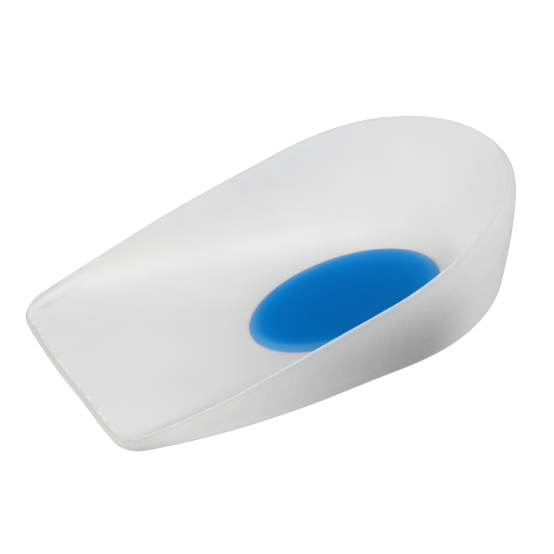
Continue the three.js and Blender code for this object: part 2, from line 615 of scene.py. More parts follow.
@dataclass(frozen=True)
class CupPlan:
    """Outline of the cup seen from above, from curves of its right half.

    Attributes:
        heel_reach: distance from the widest place back to the end of the heel.
        front_half_width: half of the front edge's width, to the tips of its corners.
        front_bow: how far the middle of the front edge bows forwards.
        corner_round: how far the rounding of a front corner reaches both ways.
        side_taper: angle of the side to the insole's length at the front corner.
        side_ease_front: pull of that angle on the side's curve.
        side_ease_heel: pull of the straight way at the widest place on the side's curve.
        front_steps: places on half of the front edge.
        corner_steps: places on a corner.
        side_steps: places on a side.
        heel_steps: places on half of the heel.
    """

    heel_reach: float = 41.5
    front_half_width: float = 26.6
    front_bow: float = 0.75
    corner_round: float = 5.4
    side_taper: float = math.radians(11.5)
    side_ease_front: float = 15.8
    side_ease_heel: float = 33.7
    front_steps: int = 64
    corner_steps: int = 26
    side_steps: int = 44
    heel_steps: int = 64

    def right_half(self, rule: FloorRule) -> list[tuple[Vector, Vector]]:
        """Places from the middle of the front to the back of the heel.

        Args:
            rule: sizes of the whole insole.

        Returns:
            Each place with the direction of the outline there.
        """
        widest = rule.length / 2 - self.heel_reach
        corner = Vector((self.front_half_width - self.corner_round, rule.front + self.front_bow))
        front = [Vector((0.0, rule.front)), Vector((corner.x / 2, rule.front)), corner]
        side_way = Vector((math.sin(self.side_taper), math.cos(self.side_taper)))
        tip = corner + bezier(front, 1.0)[1] * self.corner_round
        start = tip + side_way * self.corner_round
        side = [
            start,
            start + side_way * self.side_ease_front,
            Vector((rule.half_width, widest - self.side_ease_heel)),
            Vector((rule.half_width, widest)),
        ]
        places = [bezier(front, 0.0)]
        curves = (front, [corner, tip, start], side)
        for curve, steps in zip(curves, (self.front_steps, self.corner_steps, self.side_steps)):
            places += [bezier(curve, step / steps) for step in range(1, steps + 1)]
        for step in range(1, self.heel_steps + 1):
            angle = QUARTER_TURN * step / self.heel_steps
            cos, sin = math.cos(angle), math.sin(angle)
            point = Vector((rule.half_width * cos, widest + self.heel_reach * sin))
            way = Vector((-rule.half_width * sin, self.heel_reach * cos))
            places.append((point, way.normalized()))
        return places

    def ring(self, rule: FloorRule) -> bpy.types.Mesh:
        """The whole outline as a ring of points that carry the wall's sizes, anticlockwise from above.

        Args:
            rule: sizes of the whole insole.

        Returns:
            The ring.
        """
        right = [(point, Vector((way.y, -way.x))) for point, way in self.right_half(rule)]
        left = [(Vector((-p.x, p.y)), Vector((-out.x, out.y))) for p, out in reversed(right[1:-1])]
        places = right + left
        mesh = bpy.data.meshes.new("cup_plan")
        count = len(places)
        edges = [(place, (place + 1) % count) for place in range(count)]
        mesh.from_pydata([(point.x, point.y, 0.0) for point, _ in places], edges, [])
        outward = mesh.attributes.new("outward", "FLOAT_VECTOR", "POINT")
        for place, (_, out) in enumerate(places):
            outward.data[place].vector = (out.x, out.y, 0.0)
        for name in SECTION_SIZES:
            column = mesh.attributes.new(name, "FLOAT", "POINT")
            for place, (point, _) in enumerate(places):
                column.data[place].value = section_size(name, rule.share(point.y))
        return mesh


@dataclass(frozen=True)
class WallCurve:
    """Curves of the wall in section.

    Attributes:
        flank: power of the flank's curve, where 1 is straight.
        lean: power of the curve from the widest line to the crest, where 1 is straight.
        inside_foot: power of the inside's curve, where 1 is an ellipse.
        crest_round: radius of the crest as a share of the lip.
        crest_start: angle at which the lean runs into the crest.
        drop_limit: largest drop inside the crest, as a share of the wall's rise from the floor.
        relief_ease: share of the lean over which the nicks and the seam set in.
    """

    flank: float = 1.5
    lean: float = 1.3
    inside_foot: float = 1.12
    crest_round: float = 0.12
    crest_start: float = math.radians(30.0)
    drop_limit: float = 0.5
    relief_ease: float = 0.3


@dataclass(frozen=True)
class TrimmedFront:
    """The thin front edge: waves and nicks where it is trimmed, and a low bead beside one corner.

    Attributes:
        reach: how far back from the front edge the waves and nicks run.
        wave: how far the edge runs in and out.
        wave_scale: waves for each millimetre.
        stray: how far the cut strays inwards on one side of the middle.
        stray_x: place of that stray across the insole.
        stray_width: half width of that stray.
        nick_inset: distance of the nicks from the outline.
        nick_width: half width of the nicks.
        nick_height: height of the nicks.
        nick_scale: nicks for each millimetre.
        nick_gain: brings the uneven values to about -1 to 1.
        nick_tone: strength of the painted light and shade on the nicks.
        nick_from: share of the outline's facing to the front at which the nicks begin.
        nick_full: share at which they are full.
        bead_inset: distance of the bead from the outline.
        bead_width: half width of the bead.
        bead_height: height of the bead.
        bead_tone: strength of the painted highlight on the bead.
        bead_from: share of the outline's facing to the side at which the bead begins.
        bead_full: share at which it is full.
        ditch_inset: distance from the outline of the ditch inside the bead.
        ditch_width: half width of the ditch.
        ditch_share: depth of the ditch as a share of the bead's height.
        bead_reach: how far back from the front edge the bead runs.
        detail: how rough the waves and nicks are.
        seed: choice of waves and nicks.
    """

    reach: float = 13.0
    wave: float = 0.14
    wave_scale: float = 0.42
    stray: float = 0.42
    stray_x: float = 6.0
    stray_width: float = 9.0
    nick_inset: float = 0.8
    nick_width: float = 0.5
    nick_height: float = 0.1
    nick_scale: float = 1.5
    nick_gain: float = 4.0
    nick_tone: float = 1.3
    nick_from: float = 0.3
    nick_full: float = 0.85
    bead_inset: float = 2.3
    bead_width: float = 0.5
    bead_height: float = 0.22
    bead_tone: float = 0.2
    bead_from: float = 0.5
    bead_full: float = 0.95
    ditch_inset: float = 3.7
    ditch_width: float = 0.65
    ditch_share: float = 0.65
    bead_reach: float = 22.0
    detail: float = 3.0
    seed: float = 7.0


@dataclass(frozen=True)
class RimSeam:
    """Fine seam that the mould leaves along the outer side of the crest, with painted shade in its
    groove and along the crest.

    Attributes:
        seam_inset: distance of the line from the crest.
        seam_width: half width of the line.
        seam_depth: depth of its groove.
        seam_tone: strength of the painted shade in the groove.
        crest_tone: strength of the painted shade along the crest inside it.
    """

    seam_inset: float = 0.3
    seam_width: float = 0.2
    seam_depth: float = 0.08
    seam_tone: float = 0.35
    crest_tone: float = 1.0


@dataclass
class HeelCup:
    """The milky cup: sole, outside of the wall, rim, inside of the wall, floor and pocket.

    Attributes:
        rule: the floor's upper face.
        oval: the spot's plan.
        plan: the cup's outline.
        curve: the wall's curves.
        front: the trimmed front.
        seam: the seam of the rim.
        fit_gap: gap between the pocket's side and the spot.
        floor_span: rough width of the floor from the wall's foot to the pocket at the front.
        sole_steps: quads across the sole, and so on for each strip.
        weld: distance within which points are one.
        crease: angle between faces past which an edge stays sharp.
    """

    rule: FloorRule
    oval: SpotOval
    plan: CupPlan = CupPlan()
    curve: WallCurve = WallCurve()
    front: TrimmedFront = TrimmedFront()
    seam: RimSeam = RimSeam()
    fit_gap: float = 0.01
    floor_span: float = 30.0
    sole_steps: int = 14
    round_steps: int = 16
    flank_steps: int = 14
    lean_steps: int = 20
    crest_steps: int = 12
    bowl_steps: int = 48
    floor_steps: int = 26
    pocket_steps: int = 4
    weld: float = 0.001
    crease: float = math.radians(50.0)

    def build(self, finish: bpy.types.Material, floor: bpy.types.NodeTree) -> bpy.types.Object:
        """Makes the cup.

        Args:
            finish: its material.
            floor: the node group of the floor's height.

        Returns:
            The piece.
        """
        tree = ShapeTree("cup_shape", floor)
        CupStrips(tree, self).lay_all()
        tree.close(finish, self.weld, self.crease)
        return tree.grow("cup_body", self.plan.ring(self.rule))


@dataclass
class Rib:
    """One strip of the cup with the plan's values at each of its points."""

    band: Band
    x: Field
    y: Field
    out_x: Field
    out_y: Field
    rim: Field
    waist: Field
    lip: Field
    slant: Field
    round: Field
    run: Field

    @property
    def angle(self) -> Field:
        """Quarter turn across the strip."""
        return self.band.across * QUARTER_TURN

    def drawn_in(self, inset: Number) -> tuple[Field, Field]:
        """The plan's points moved in from the outline."""
        return self.x - self.out_x * inset, self.y - self.out_y * inset


class CupStrips:
    """Writes the strips of the cup into its shape tree."""

    def __init__(self, tree: ShapeTree, cup: HeelCup) -> None:
        """Adds the tree's inputs and the trimmed edge of the plan.

        Args:
            tree: the tree to write into.
            cup: sizes of the cup.
        """
        self.tree = tree
        self.cup = cup
        self.curve = tree.sizes(cup.curve)
        self.front = tree.sizes(cup.front)
        self.seam = tree.sizes(cup.seam)
        self.gap = tree.size("Fit gap", cup.fit_gap)
        plan = tree.entry.outputs["Plan"]
        self.around = tree.field("GeometryNodeAttributeDomainSize", {"Geometry": plan}, "Point Count")
        self.trimmed = self.trim(plan)

    def lay_all(self) -> None:
        """Lays the strips in order, from the middle of the sole to the middle of the pocket."""
        self.lay_sole()
        self.lay_round()
        self.lay_flank()
        self.lay_lean()
        self.lay_crest()
        self.lay_bowl()
        self.lay_floor()
        self.lay_pocket()

    def near_front(self, y: Field, reach: str = "reach") -> Field:
        """1 at the front edge, falling to 0 at a reach of the trimmed front."""
        return 1.0 - (y - self.cup.rule.front).ramp(0.0, self.front[reach])

    def noise(self, place: Socket, scale: str) -> Field:
        """Uneven values from 0 to 1 over the plan.

        Args:
            place: where to read them.
            scale: name of the trimmed front's size that sets how fine they are.

        Returns:
            The values.
        """
        front = self.front
        inputs = {"Vector": place, "W": front["seed"], "Scale": front[scale], "Detail": front["detail"]}
        return self.tree.field("ShaderNodeTexNoise", inputs, noise_dimensions="4D")

    def trim(self, plan: Socket) -> Socket:
        """Moves the plan's points in and out a little near the front, as a trimmed edge runs.

        Args:
            plan: the ring of the outline.

        Returns:
            The ring with the waves in it.
        """
        tree, front = self.tree, self.front
        position = tree.call("GeometryNodeInputPosition", {})
        x, y, _ = tree.parts(position)
        wave = (self.noise(position, "wave_scale") - 0.5) * 2.0 * front["wave"]
        stray = x.bump(front["stray_x"], front["stray_width"]) * front["stray"]
        inputs = {
            0: self.plan_value("outward", "FLOAT_VECTOR"),
            "Scale": (wave - stray) * self.near_front(y),
        }
        shift = tree.call("ShaderNodeVectorMath", inputs, operation="SCALE")
        return tree.call("GeometryNodeSetPosition", {"Geometry": plan, "Offset": shift})

    def plan_value(self, name: str, kind: str) -> Socket:
        """A value that the plan's points carry."""
        inputs = {"Name": name}
        return self.tree.call("GeometryNodeInputNamedAttribute", inputs, "Attribute", data_type=kind)

    def rib(self, steps: int) -> Rib:
        """Starts a strip and reads the plan's values at each of its points.

        Args:
            steps: number of quads across the strip.

        Returns:
            The strip with its values.
        """
        band = self.tree.band(self.around, steps)

        def read(value: Socket, kind: str) -> Socket:
            """Reads a value at the strip's place on the plan."""
            inputs = {"Geometry": self.trimmed, "Value": value, "Index": band.place}
            return self.tree.call("GeometryNodeSampleIndex", inputs, data_type=kind, domain="POINT")

        position = read(self.tree.call("GeometryNodeInputPosition", {}), "FLOAT_VECTOR")
        outward = read(self.plan_value("outward", "FLOAT_VECTOR"), "FLOAT_VECTOR")
        sizes = {
            name: Field(self.tree, read(self.plan_value(name, "FLOAT"), "FLOAT"))
            for name in SECTION_SIZES
        }
        x, y, _ = self.tree.parts(position)
        out_x, out_y, _ = self.tree.parts(outward)
        return Rib(band, x, y, out_x, out_y, **sizes)

    def nicks(self, rib: Rib, inset: Field) -> Field:
        """Uneven flecks along the front edge, up and down.

        Args:
            rib: the strip.
            inset: distance from the outline.

        Returns:
            The flecks, about -1 to 1.
        """
        front = self.front
        fleck = self.noise(self.tree.vector(*rib.drawn_in(inset), 0.0), "nick_scale") - 0.5
        facing = rib.out_y.math("ABSOLUTE").ramp(front["nick_from"], front["nick_full"])
        line = inset.bump(front["nick_inset"], front["nick_width"])
        return line * fleck * front["nick_gain"] * (facing * self.near_front(rib.y))

    def beads(self, rib: Rib, inset: Field) -> tuple[Field, Field]:
        """The low bead that runs back from the front corner at -X, with a ditch inside it.

        Args:
            rib: the strip.
            inset: distance from the outline.

        Returns:
            The height, where the bead's is 1, and the painted light and shade: negative for painted
            shade in the ditch and beside the bead, positive for the painted highlight on the bead.
        """
        front = self.front
        bead = inset.bump(front["bead_inset"], front["bead_width"])
        ditch = inset.bump(front["ditch_inset"], front["ditch_width"]) * front["ditch_share"]
        # painted shade along the outer side of the bead
        verge_shade = 1.0 - inset.ramp(front["bead_inset"] - front["bead_width"] * 2.0, front["bead_inset"])
        facing = (0.0 - rib.out_x).ramp(front["bead_from"], front["bead_full"])
        fade = self.near_front(rib.y, "bead_reach") * facing
        # the bead's painted highlight, with painted shade in the ditch and beside the bead
        return (bead - ditch) * fade, (bead * front["bead_tone"] - ditch - verge_shade) * fade

    def groove(self, rib: Rib, inset: Field) -> Field:
        """The seam along the crest, 1 at its deepest."""
        crest = rib.lip * (1.0 - self.curve["crest_round"]) - self.seam["seam_inset"]
        return inset.bump(crest, self.seam["seam_width"])

    def relief(self, nicks: Field, groove: Field) -> Field:
        """Height that the nicks add and the seam takes away."""
        return nicks * self.front["nick_height"] - groove * self.seam["seam_depth"]

    def crest_radius(self, rib: Rib) -> Field:
        """Radius of the rounded crest."""
        return rib.lip * self.curve["crest_round"]

    def lip_floor(self, rib: Rib) -> Field:
        """Height of the floor's upper face under the inside of the rim."""
        return self.tree.floor_at(*rib.drawn_in(rib.lip))

    def inner_drop(self, rib: Rib) -> Field:
        """How far the crest drops to the inside of the rim: nothing where the rim meets the floor."""
        rise = (rib.rim - self.lip_floor(rib)).at_least(0.0)
        return self.crest_radius(rib).at_most(rise * self.curve["drop_limit"])

    def lay_sole(self) -> None:
        """The flat sole, from its middle to its edge."""
        rib = self.rib(self.cup.sole_steps)
        x, y = rib.drawn_in(rib.slant + rib.round)
        share = rib.band.across
        self.tree.lay(rib.band, x * share, y * share, 0.0, {Mark.OUTSIDE: 1.0})

    def flank_inset(self, rib: Rib, height: Field) -> Field:
        """How far the flank is drawn in at a height below the widest line."""
        return rib.slant * (1.0 - height / (rib.rim * rib.waist)).at_least(0.0) ** self.curve["flank"]

    def lay_round(self) -> None:
        """The rounded corner between sole and flank."""
        rib = self.rib(self.cup.round_steps)
        z = rib.round * (1.0 - rib.angle.cos())
        x, y = rib.drawn_in(self.flank_inset(rib, z) + rib.round * (1.0 - rib.angle.sin()))
        self.tree.lay(rib.band, x, y, z, {Mark.OUTSIDE: 1.0})

    def lay_flank(self) -> None:
        """The flank, from the lower corner to the widest line."""
        rib = self.rib(self.cup.flank_steps)
        z = rib.round.towards(rib.rim * rib.waist, rib.band.across)
        x, y = rib.drawn_in(self.flank_inset(rib, z))
        self.tree.lay(rib.band, x, y, z, {Mark.OUTSIDE: 1.0})

    def lay_lean(self) -> None:
        """The outside from the widest line, which leans in to the crest."""
        rib = self.rib(self.cup.lean_steps)
        radius = self.crest_radius(rib)
        start = self.curve["crest_start"]
        share = rib.band.across
        inset = (rib.lip - radius * (start.cos() + 1.0)) * share ** self.curve["lean"]
        top = rib.rim - radius * (1.0 - start.sin())
        x, y = rib.drawn_in(inset)
        nicks, groove = self.nicks(rib, inset), self.groove(rib, inset)
        raised = self.relief(nicks, groove) * share.ramp(0.0, self.curve["relief_ease"])
        z = (rib.rim * rib.waist).towards(top, share) + raised
        # painted shade in the seam's groove, and painted light and shade on the nicks
        line = nicks * self.front["nick_tone"] - groove * self.seam["seam_tone"]
        self.tree.lay(rib.band, x, y, z, {Mark.OUTSIDE: 1.0, Mark.LINE: line})

    def lay_crest(self) -> None:
        """The rounded crest of the rim, over to its inside."""
        rib = self.rib(self.cup.crest_steps)
        radius = self.crest_radius(rib)
        start = self.curve["crest_start"]
        angle = start + (math.pi - start) * rib.band.across
        inner = angle.math("GREATER_THAN", QUARTER_TURN)
        drop = radius.towards(self.inner_drop(rib), inner)
        inset = rib.lip - radius * (angle.math("COSINE") + 1.0)
        x, y = rib.drawn_in(inset)
        nicks = self.nicks(rib, inset)
        z = rib.rim - drop * (1.0 - angle.sin()) + self.relief(nicks, self.groove(rib, inset))
        # painted shade all along the crest, and painted light and shade on the nicks
        line = nicks * self.front["nick_tone"] - self.seam["crest_tone"]
        self.tree.lay(rib.band, x, y, z, {Mark.OUTSIDE: 0.0, Mark.LINE: line})

    def lay_bowl(self) -> None:
        """The inside of the wall, down to its foot on the floor."""
        rib = self.rib(self.cup.bowl_steps)
        foot = self.curve["inside_foot"]
        inset = rib.lip + (rib.run - rib.lip) * (1.0 - rib.angle.cos() ** foot)
        x, y = rib.drawn_in(inset)
        rise = rib.rim - self.inner_drop(rib) - self.lip_floor(rib)
        nicks = self.nicks(rib, inset)
        bead, tone = self.beads(rib, inset)
        raised = self.relief(nicks, self.groove(rib, inset))
        raised += bead * self.front["bead_height"] * rib.angle.sin()
        z = self.tree.floor_at(x, y) + rise * (1.0 - rib.angle.sin() ** foot) + raised
        # painted light and shade on the nicks, the bead and its ditch
        line = nicks * self.front["nick_tone"] + tone
        self.tree.lay(rib.band, x, y, z, {Mark.OUTSIDE: 0.0, Mark.LINE: line})

    def pocket_edge(self, rib: Rib) -> tuple[Field, Field]:
        """The pocket's edge that faces the foot of the wall."""
        return self.cup.oval.point(self.cup.oval.angle_to(*rib.drawn_in(rib.run)), 1.0, self.gap)

    def lay_floor(self) -> None:
        """The floor, from the foot of the wall to the edge of the pocket."""
        rib = self.rib(self.cup.floor_steps)
        foot_x, foot_y = rib.drawn_in(rib.run)
        edge_x, edge_y = self.pocket_edge(rib)
        x = foot_x.towards(edge_x, rib.band.across)
        y = foot_y.towards(edge_y, rib.band.across)
        bead, tone = self.beads(rib, rib.run + rib.band.across * self.cup.floor_span)
        z = self.tree.floor_at(x, y) + bead * self.front["bead_height"]
        # painted light and shade of the bead and its ditch on the floor
        self.tree.lay(rib.band, x, y, z, {Mark.OUTSIDE: 0.0, Mark.LINE: tone})

    def lay_pocket(self) -> None:
        """The pocket: its upright side, then its flat bottom."""
        side = self.rib(1)
        x, y = self.pocket_edge(side)
        level = self.tree.size("Pocket floor", self.cup.oval.pocket_floor)
        z = self.tree.floor_at(x, y).towards(level, side.band.across)
        self.tree.lay(side.band, x, y, z, {Mark.OUTSIDE: 0.0})
        bottom = self.rib(self.cup.pocket_steps)
        x, y = self.pocket_edge(bottom)
        share = 1.0 - bottom.band.across
        x = (x - self.cup.oval.centre_x) * share + self.cup.oval.centre_x
        y = (y - self.cup.oval.centre_y) * share + self.cup.oval.centre_y
        self.tree.lay(bottom.band, x, y, level, {Mark.OUTSIDE: 0.0})


@dataclass
class SoftSpot:
    """The blue spot, which fills the pocket and stands a little proud inside a soft shoulder.

    A painted sheen makes its pale edge run further in on one side.

    Attributes:
        oval: the spot's plan.
        thick_side: the oval's angle away from the painted sheen, where its colour deepens fastest.
        thick_base: how fast its colour deepens inwards on average.
        thick_lean: how much faster it deepens on the deep side, and slower on the side of the painted
            sheen.
        thin_from: share of the facing to the painted sheen's side at which the edge begins to be paler.
        thin_full: share at which it is palest.
        soft_edge: how far the painted sheen shifts the pale edge inwards.
        soft_reach: distance inside the shoulder over which that shift runs out.
        around: places round the oval.
        side_steps: quads across the side, and so on for each strip.
        weld: distance within which points are one.
        crease: angle between faces past which an edge stays sharp.
    """

    oval: SpotOval
    thick_side: float = math.radians(-45.0)
    thick_base: float = 0.75
    thick_lean: float = 0.6
    thin_from: float = 0.3
    thin_full: float = 0.8
    soft_edge: float = 1.2
    soft_reach: float = 0.9
    around: int = 192
    side_steps: int = 3
    base_steps: int = 8
    shoulder_steps: int = 16
    top_steps: int = 40
    weld: float = 0.001
    crease: float = math.radians(50.0)

    def facing(self, angle: Field) -> Field:
        """1 towards the side where its colour deepens fastest, and -1 towards the painted sheen."""
        return (angle - self.thick_side).math("COSINE")

    def thin(self, angle: Field) -> Field:
        """1 on the side of the painted sheen, falling to 0 on the other half."""
        return (0.0 - self.facing(angle)).ramp(self.thin_from, self.thin_full)

    def build(self, finish: bpy.types.Material, floor: bpy.types.NodeTree) -> bpy.types.Object:
        """Makes the spot.

        Args:
            finish: its material.
            floor: the node group of the floor's height.

        Returns:
            The piece.
        """
        tree = ShapeTree("spot_shape", floor)
        around = tree.size("Around", self.around)
        proud = tree.size("Proud", self.oval.proud)
        shoulder = tree.size("Shoulder", self.oval.shoulder)
        underside = tree.size("Underside", self.oval.underside)

        def strip(steps: int) -> tuple[Band, Field]:
            """Starts a strip and gives the oval's angle at its points."""
            band = tree.band(around, steps)
            return band, band.place * FULL_TURN / around

        band, angle = strip(self.base_steps)
        x, y = self.oval.point(angle, band.across, 0.0)
        tree.lay(band, x, y, underside, {Mark.EDGE: 0.0})

        band, angle = strip(self.side_steps)
        x, y = self.oval.point(angle, 1.0, 0.0)
        tree.lay(band, x, y, underside.towards(tree.floor_at(x, y), band.across), {Mark.EDGE: 0.0})

        band, angle = strip(self.shoulder_steps)
        inset = shoulder * band.across
        x, y = self.oval.point(angle, 1.0, 0.0 - inset)
        # painted sheen: the pale edge runs further in on one side
        depth = inset - self.thin(angle) * self.soft_edge * band.across
        z = tree.floor_at(x, y) + proud * inset.ramp(0.0, shoulder)
        tree.lay(band, x, y, z, {Mark.EDGE: depth})

        band, angle = strip(self.top_steps)
        share = 1.0 - band.across
        x, y = self.oval.point(angle, share, 0.0 - shoulder)
        side = self.facing(angle) * self.thick_lean + self.thick_base
        inner = band.across * (self.oval.half_width - self.oval.shoulder)
        # painted sheen: the pale edge runs further in on one side, fading out inside the shoulder
        soft = self.thin(angle) * self.soft_edge * (1.0 - inner.ramp(0.0, self.soft_reach))
        depth = shoulder + inner * (side + (1.0 - side) * band.across) - soft
        tree.lay(band, x, y, tree.floor_at(x, y) + proud, {Mark.EDGE: depth})

        tree.close(finish, self.weld, self.crease)
        return tree.grow("spot_plug", bpy.data.meshes.new("spot_plan"))


@dataclass(frozen=True)
class MouldedSurface:
    """What both silicones took from the mould: soft clouding, uneven gloss and a fine grain.

    Attributes:
        cloud_detail: how rough the clouds are.
        grain_detail: how rough the grain is.
        cloud_share: share of the clouds in the uneven gloss, where the rest is the grain's.
        cloud_low: uneven value at which a cloud begins.
        cloud_high: uneven value at which it is full.
    """

    cloud_detail: float = 3.0
    grain_detail: float = 2.0
    cloud_share: float = 0.6
    cloud_low: float = 0.3
    cloud_high: float = 0.7

    def group(self) -> bpy.types.NodeTree:
        """Builds the shader node group that both silicones use.

        Returns:
            The group, from a place and a face's sizes to Cloud, Roughness and Grain.
        """
        graph = Graph(bpy.data.node_groups.new("moulded_surface", "ShaderNodeTree"))
        graph.open_socket("Vector", "INPUT", "NodeSocketVector")
        for name in ("Cloud scale", "Grain scale", "Roughness", "Gloss spread"):
            graph.open_socket(name, "INPUT", "NodeSocketFloat")
        for name in ("Cloud", "Roughness", "Grain"):
            graph.open_socket(name, "OUTPUT", "NodeSocketFloat")
        entry = graph.add("NodeGroupInput").outputs

        def noise(scale: str, detail: float) -> Field:
            """Uneven values from 0 to 1 over the surface."""
            inputs = {"Vector": entry["Vector"], "Scale": entry[scale], "Detail": detail}
            return graph.field("ShaderNodeTexNoise", inputs)

        cloud = noise("Cloud scale", self.cloud_detail)
        grain = noise("Grain scale", self.grain_detail)
        mixed = cloud * self.cloud_share + grain * (1.0 - self.cloud_share)
        uneven = (mixed - 0.5) * Field(graph, entry["Gloss spread"])
        leave = graph.add("NodeGroupOutput").inputs
        graph.feed(leave["Cloud"], cloud.ramp(self.cloud_low, self.cloud_high))
        graph.feed(leave["Roughness"], uneven + Field(graph, entry["Roughness"]))
        graph.feed(leave["Grain"], grain)
        return graph.tree


@dataclass(frozen=True)
class MouldedFace:
    """How the mould left the face of one silicone.

    Attributes:
        roughness: how dull it is, on average.
        gloss_spread: how much that varies.
        cloud_scale: clouds for each metre.
        grain_scale: grains for each metre.
        grain_depth: height of the grain, in metres.
        specular: strength of its shine.
    """

    roughness: float
    gloss_spread: float
    cloud_scale: float
    grain_scale: float
    grain_depth: float
    specular: float


class Finish:
    """A material under construction, with the moulded surface wired to its shader."""

    def __init__(self, slot: Slot, surface: bpy.types.NodeTree, face: MouldedFace) -> None:
        """Starts a material.

        Args:
            slot: the record's slot, which names the material.
            surface: the node group of the moulded surface.
            face: how the mould left this silicone.
        """
        self.material = bpy.data.materials.new(slot.value)
        self.material.use_nodes = True
        self.graph = Graph(self.material.node_tree)
        self.shader = self.material.node_tree.nodes["Principled BSDF"]
        self.surface = self.graph.add("ShaderNodeGroup", node_tree=surface)
        self.place = self.graph.call("ShaderNodeTexCoord", {}, "Object")
        self.graph.feed(self.surface.inputs["Vector"], self.place)
        for name in ("cloud_scale", "grain_scale", "roughness", "gloss_spread"):
            self.graph.feed(self.surface.inputs[label(name)], getattr(face, name))
        self.dress({"Specular IOR Level": face.specular, "IOR": SILICONE_IOR})
        self.dress({"Roughness": self.out("Roughness")})

    def dress(self, inputs: dict[str, object]) -> None:
        """Feeds inputs of the shader."""
        for name, source in inputs.items():
            self.graph.feed(self.shader.inputs[name], source)

    def mark(self, mark: Mark) -> Field:
        """A value that the shape tree left on the mesh."""
        return self.graph.field("ShaderNodeAttribute", {}, "Fac", attribute_name=mark.value)

    def out(self, name: str) -> Field:
        """An output of the moulded surface."""
        return Field(self.graph, self.surface.outputs[name])

    def mix(self, share: Field, first: object, second: object) -> Socket:
        """Mixes two colours, or what puts them out, by a share."""
        node = self.graph.add("ShaderNodeMix", data_type="RGBA")
        self.graph.feed(node.inputs["Factor"], share)
        colours = [socket for socket in node.inputs if socket.type == "RGBA"]
        for target, source in zip(colours, (first, second)):
            self.graph.feed(target, source)
        return next(socket for socket in node.outputs if socket.type == "RGBA")

    def emboss(self, height: Field, depth: float) -> None:
        """Gives the shader its grain.

        Args:
            height: the grain's height, 0 to 1.
            depth: the height of 1, in metres.
        """
        inputs = {"Height": height, "Distance": depth, "Strength": 1.0}
        self.dress({"Normal": self.graph.call("ShaderNodeBump", inputs)})


@dataclass(frozen=True)
class SpotShadeAndShowThrough:
    """Painted shade of the spot on the milky silicone, grey beside and round it, and the spot seen
    through it: blue on the sole, and painted blue shade on the rim.

    Places and distances are in millimetres.

    Attributes:
        oval: the spot's plan.
        tone: the dark that the painted shade and the speckle mix towards.
        wall_x: distance from the middle of the insole at which the painted shade on the wall and the
            painted blue shade on the rim are full.
        patch_y: place along the insole of the darkest line of the painted shade on the wall.
        patch_front: how far the painted shade fades towards the front.
        patch_heel: how far it fades towards the heel.
        patch_level: height up to which it is darkest.
        patch_rise: how far it fades upwards from there.
        patch_depth: share of the light that the painted shade takes.
        halo_reach: how far the painted shade on the floor fades out from the spot.
        halo_depth: share of the light that it takes at the spot's edge.
        sole_fade: half width of the soft edge on the sole.
        sole_low: height at which the blue of the sole begins to fade.
        sole_high: height at which it is gone.
        sole_depth: share of the blue on the sole.
        sole_tone: the blue on the sole.
        rim_y: middle along the insole of the painted blue shade on the rim.
        rim_reach: how far it fades to both sides.
        rim_depth: share of the blue in it.
        rim_tone: its blue.
    """

    oval: SpotOval = SpotOval()
    tone: Colour = (0.0, 0.0, 0.0)
    wall_x: float = 24.0
    patch_y: float = 16.3
    patch_front: float = 29.0
    patch_heel: float = 11.2
    patch_level: float = 6.6
    patch_rise: float = 11.3
    patch_depth: float = 0.46
    halo_reach: float = 6.0
    halo_depth: float = 0.13
    sole_fade: float = 5.0
    sole_low: float = 0.1
    sole_high: float = 1.0
    sole_depth: float = 0.6
    sole_tone: Colour = (0.16, 0.4, 0.62)
    rim_y: float = 6.0
    rim_reach: float = 14.0
    rim_depth: float = 0.3
    rim_tone: Colour = (0.25, 0.6, 0.95)

    def beside(self, x: Field, y: Field, z: Field) -> Field:
        """Share of the painted shade of the spot on the wall.

        Args:
            x: place across the insole.
            y: place along it.
            z: height.

        Returns:
            The share, 0 to 1.
        """
        # painted shade of the spot on the outside of the wall beside it
        behind = (y - self.patch_y).math("GREATER_THAN", 0.0)
        reach = behind * (self.patch_heel - self.patch_front) + self.patch_front
        above = (z - self.patch_level).at_least(0.0)
        fade = y.bump(self.patch_y, reach) * above.bump(0.0, self.patch_rise)
        return fade * x.ramp(0.0, self.wall_x) * self.patch_depth

    def on_rim(self, x: Field, y: Field) -> Field:
        """Share of the painted blue shade on the rim beside the spot."""
        return y.bump(self.rim_y, self.rim_reach) * x.ramp(0.0, self.wall_x) * self.rim_depth

    def around(self, x: Field, y: Field) -> Field:
        """Share of the painted shade on the floor round the spot."""
        # painted shade on the floor round the spot, darkest at its edge
        away = (self.oval.reach(x, y) - 1.0).at_least(0.0) * self.oval.half_width
        return (away / -self.halo_reach).math("EXPONENT") * self.halo_depth

    def under(self, x: Field, y: Field, z: Field) -> Field:
        """Share of the blue on the sole.

        Args:
            x: place across the insole.
            y: place along it.
            z: height.

        Returns:
            The share, 0 to 1.
        """
        outside = (self.oval.reach(x, y) - 1.0) * self.oval.half_width
        beneath = 1.0 - outside.ramp(-self.sole_fade, self.sole_fade)
        return beneath * (1.0 - z.ramp(self.sole_low, self.sole_high)) * self.sole_depth


